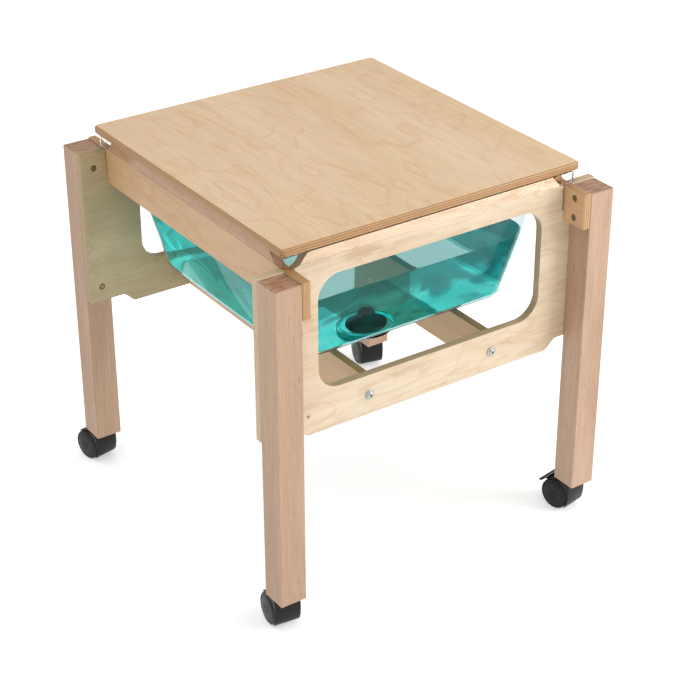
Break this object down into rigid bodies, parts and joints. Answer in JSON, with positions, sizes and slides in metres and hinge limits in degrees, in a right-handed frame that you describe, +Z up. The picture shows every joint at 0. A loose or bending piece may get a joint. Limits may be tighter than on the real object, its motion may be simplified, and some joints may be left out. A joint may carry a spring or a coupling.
{
  "type": "sand and water table",
  "caption": "Square wooden play table on swivel casters, with a lift-out clear tub, windowed side panels, a drain plug and a flat plywood lid.",
  "frame": {"origin": "on the floor, under the centre of the bounding box, trailing casters and brake pedals included", "axes": "+Z up; +Y along the rails, towards the side that the casters trail to; +X along the window panels, towards the side with the braked casters"},
  "size_m": [0.5857, 0.6079, 0.578],
  "materials": {
    "leg_hardwood": "solid hardwood under clear satin lacquer",
    "panel_ply": "pale birch plywood under clear satin lacquer",
    "rail_ply": "birch plywood under clear satin lacquer",
    "slat_ply": "birch plywood under clear satin lacquer",
    "lid_ply": "figured birch plywood under clear satin lacquer",
    "batten_wood": "clear satin lacquer",
    "clear_tub": "polished clear plastic",
    "zinc_steel": "bright zinc plate",
    "black_nylon": "moulded black nylon",
    "wheel_nylon": "moulded black nylon, a little smoother than the hood",
    "plug_rubber": "moulded black rubber",
    "drain_plastic": "moulded black plastic"
  },
  "bodies": {
    "frame": {"leg_front_left": "leg_hardwood", "leg_front_right": "leg_hardwood", "leg_back_left": "leg_hardwood", "leg_back_right": "leg_hardwood", "panel_front": "panel_ply", "panel_back": "panel_ply", "rail_left": "rail_ply", "rail_right": "rail_ply", "slat_left": "slat_ply", "slat_right": "slat_ply", "screw_panel_front_left_upper": "zinc_steel", "screw_panel_front_left_lower": "zinc_steel", "screw_panel_front_right_upper": "zinc_steel", "screw_panel_front_right_lower": "zinc_steel", "screw_panel_back_left_upper": "zinc_steel", "screw_panel_back_left_lower": "zinc_steel", "screw_panel_back_right_upper": "zinc_steel", "screw_panel_back_right_lower": "zinc_steel", "screw_rail_front_left_upper": "zinc_steel", "screw_rail_front_left_lower": "zinc_steel", "screw_rail_front_right_upper": "zinc_steel", "screw_rail_front_right_lower": "zinc_steel", "screw_rail_back_left_upper": "zinc_steel", "screw_rail_back_left_lower": "zinc_steel", "screw_rail_back_right_upper": "zinc_steel", "screw_rail_back_right_lower": "zinc_steel", "bolt_left_front": "zinc_steel", "bolt_left_back": "zinc_steel", "bolt_right_front": "zinc_steel", "bolt_right_back": "zinc_steel", "caster_stem_front_left": "zinc_steel", "caster_stem_front_right": "zinc_steel", "caster_stem_back_left": "zinc_steel", "caster_stem_back_right": "zinc_steel"},
    "tub": {"tub": "clear_tub", "drain_fitting": "drain_plastic", "drain_nut": "drain_plastic"},
    "lid": {"lid": "lid_ply", "lid_batten_front": "batten_wood", "lid_batten_back": "batten_wood"},
    "plug": {"drain_plug": "plug_rubber"},
    "swivel_front_left": {"caster_hood_front_left": "black_nylon", "caster_axle_front_left": "zinc_steel"},
    "swivel_front_right": {"caster_hood_front_right": "black_nylon", "caster_axle_front_right": "zinc_steel"},
    "swivel_back_left": {"caster_hood_back_left": "black_nylon", "caster_axle_back_left": "zinc_steel"},
    "swivel_back_right": {"caster_hood_back_right": "black_nylon", "caster_axle_back_right": "zinc_steel"},
    "wheel_front_left_left": {"caster_wheel_front_left_left": "wheel_nylon"},
    "wheel_front_left_right": {"caster_wheel_front_left_right": "wheel_nylon"},
    "wheel_front_right_left": {"caster_wheel_front_right_left": "wheel_nylon"},
    "wheel_front_right_right": {"caster_wheel_front_right_right": "wheel_nylon"},
    "wheel_back_left_left": {"caster_wheel_back_left_left": "wheel_nylon"},
    "wheel_back_left_right": {"caster_wheel_back_left_right": "wheel_nylon"},
    "wheel_back_right_left": {"caster_wheel_back_right_left": "wheel_nylon"},
    "wheel_back_right_right": {"caster_wheel_back_right_right": "wheel_nylon"},
    "brake_front_right": {"brake_lever_front_right": "black_nylon"},
    "brake_back_right": {"brake_lever_back_right": "black_nylon"}
  },
  "joints": [
    {"name": "tub_lift", "type": "slide", "parent": "frame", "child": "tub", "axis": [0, 0, 1], "range_m": [0, 0.25]},
    {"name": "lid_lift", "type": "slide", "parent": "tub", "child": "lid", "axis": [0, 0, 1], "range_m": [0, 0.15]},
    {"name": "plug_pull", "type": "slide", "parent": "tub", "child": "plug", "axis": [0, 0, 1], "range_m": [0, 0.12]},
    {"name": "swivel_front_left", "type": "hinge", "parent": "frame", "child": "swivel_front_left", "pos_m": [-0.26405, -0.28325, 0.0512], "axis": [0, 0, 1], "continuous": true},
    {"name": "swivel_front_right", "type": "hinge", "parent": "frame", "child": "swivel_front_right", "pos_m": [0.25965, -0.28325, 0.0512], "axis": [0, 0, 1], "continuous": true},
    {"name": "swivel_back_left", "type": "hinge", "parent": "frame", "child": "swivel_back_left", "pos_m": [-0.26405, 0.25245, 0.0512], "axis": [0, 0, 1], "continuous": true},
    {"name": "swivel_back_right", "type": "hinge", "parent": "frame", "child": "swivel_back_right", "pos_m": [0.25965, 0.25245, 0.0512], "axis": [0, 0, 1], "continuous": true},
    {"name": "spin_front_left_left", "type": "hinge", "parent": "swivel_front_left", "child": "wheel_front_left_left", "pos_m": [-0.26161, -0.2634, 0.0245], "axis": [0.9925, -0.1219, 0], "continuous": true},
    {"name": "spin_front_left_right", "type": "hinge", "parent": "swivel_front_left", "child": "wheel_front_left_right", "pos_m": [-0.26161, -0.2634, 0.0245], "axis": [0.9925, -0.1219, 0], "continuous": true},
    {"name": "spin_front_right_left", "type": "hinge", "parent": "swivel_front_right", "child": "wheel_front_right_left", "pos_m": [0.25583, -0.26362, 0.0245], "axis": [0.9816, 0.1908, 0], "continuous": true},
    {"name": "spin_front_right_right", "type": "hinge", "parent": "swivel_front_right", "child": "wheel_front_right_right", "pos_m": [0.25583, -0.26362, 0.0245], "axis": [0.9816, 0.1908, 0], "continuous": true},
    {"name": "spin_back_left_left", "type": "hinge", "parent": "swivel_back_left", "child": "wheel_back_left_left", "pos_m": [-0.26821, 0.27201, 0.0245], "axis": [0.9781, 0.2079, 0], "continuous": true},
    {"name": "spin_back_left_right", "type": "hinge", "parent": "swivel_back_left", "child": "wheel_back_left_right", "pos_m": [-0.26821, 0.27201, 0.0245], "axis": [0.9781, 0.2079, 0], "continuous": true},
    {"name": "spin_back_right_left", "type": "hinge", "parent": "swivel_back_right", "child": "wheel_back_right_left", "pos_m": [0.26415, 0.27194, 0.0245], "axis": [0.9744, -0.225, 0], "continuous": true},
    {"name": "spin_back_right_right", "type": "hinge", "parent": "swivel_back_right", "child": "wheel_back_right_right", "pos_m": [0.26415, 0.27194, 0.0245], "axis": [0.9744, -0.225, 0], "continuous": true},
    {"name": "brake_front_right", "type": "hinge", "parent": "swivel_front_right", "child": "brake_front_right", "pos_m": [0.25318, -0.24996, 0.0496], "axis": [-0.9816, -0.1908, 0], "range_deg": [0, 8]},
    {"name": "brake_back_right", "type": "hinge", "parent": "swivel_back_right", "child": "brake_back_right", "pos_m": [0.26728, 0.28549, 0.0496], "axis": [-0.9744, 0.225, 0], "range_deg": [0, 8]}
  ]
}
